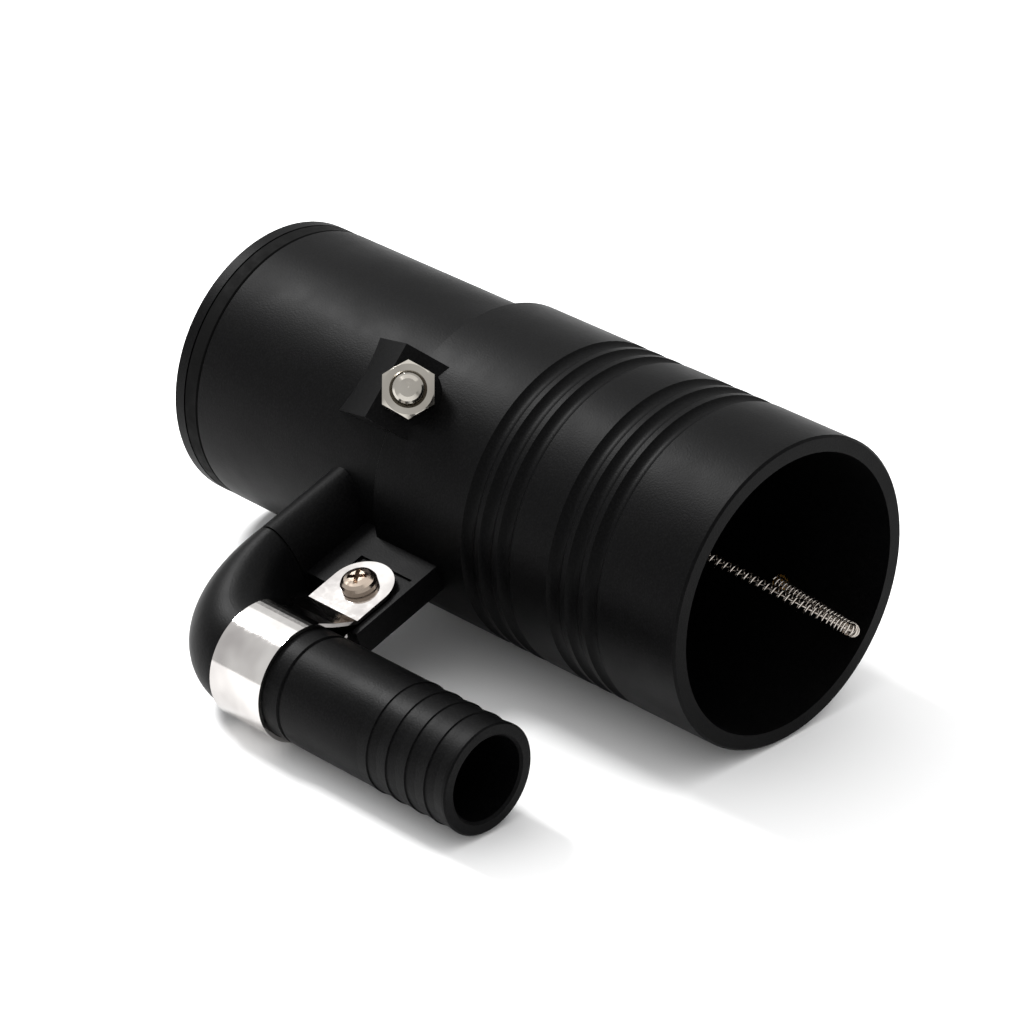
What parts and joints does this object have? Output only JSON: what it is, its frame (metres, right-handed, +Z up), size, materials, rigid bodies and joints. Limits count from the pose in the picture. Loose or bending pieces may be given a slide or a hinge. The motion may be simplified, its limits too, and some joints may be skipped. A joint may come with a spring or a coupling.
{
  "type": "snorkel tube",
  "caption": "Rigid breathing tube with a wide grooved socket, a bent side connection held by a strap clip, an inlet check flap and a nut-tensioned internal spring",
  "frame": {"origin": "centre of the open socket mouth, on the axis of the main tube", "axes": "+X along the main tube, out of the socket mouth; +Z up with the part lying on its socket and clip; the side connection is towards -Y"},
  "size_m": [0.141, 0.1074, 0.0634],
  "materials": {
    "moulded_black": "fine speckled moulded grain, satin",
    "connection_black": "fine speckled moulded grain, satin",
    "seal_rubber": "matte",
    "strap_chrome": "bright polished",
    "screw_steel": "bright turned",
    "nut_nickel": "bright nickel plated",
    "spring_steel": "bright drawn wire",
    "brass": "turned",
    "valve_plastic": "satin",
    "flap_plastic": "satin"
  },
  "bodies": {
    "tube": {"tube_body": "moulded_black", "inlet_seal_ring": "seal_rubber", "valve_seat_ring": "valve_plastic", "seat_snap_ring": "spring_steel", "hinge_pin": "screw_steel", "hinge_spring": "spring_steel", "elbow_tail": "connection_black", "arm_gasket": "seal_rubber", "clip_strap": "strap_chrome", "clip_screw": "screw_steel", "clip_insert": "brass", "stud_washer": "nut_nickel", "stud_seal": "seal_rubber", "return_spring": "spring_steel", "spring_anchor": "brass"},
    "flap": {"flap_disc": "flap_plastic", "flap_facing": "seal_rubber", "facing_washer": "screw_steel", "flap_rivet": "brass"},
    "stud": {"eye_stud": "nut_nickel", "spring_link": "spring_steel"},
    "nut": {"stud_nut": "nut_nickel"}
  },
  "joints": [
    {"name": "flap_hinge", "type": "hinge", "parent": "tube", "child": "flap", "pos_m": [-0.1196, -0.00604, 0.01938], "axis": [0, -0.9548, -0.2974], "range_deg": [0, 65], "stiffness_Nm_per_rad": 0.0005, "springref_deg": -20.05},
    {"name": "nut_turn", "type": "hinge", "parent": "tube", "child": "nut", "pos_m": [-0.0779, -0.02386, 0.0228], "axis": [0.5878, -0.5849, 0.5589], "range_deg": [-540, 540]},
    {"name": "stud_slide", "type": "slide", "parent": "tube", "child": "stud", "axis": [0.5878, -0.5849, 0.5589], "range_m": [-0.0015, 0.0015]}
  ],
  "couplings": [
    {"joint": "nut_turn", "follows": "stud_slide", "rad_per_m": -6283.2}
  ]
}
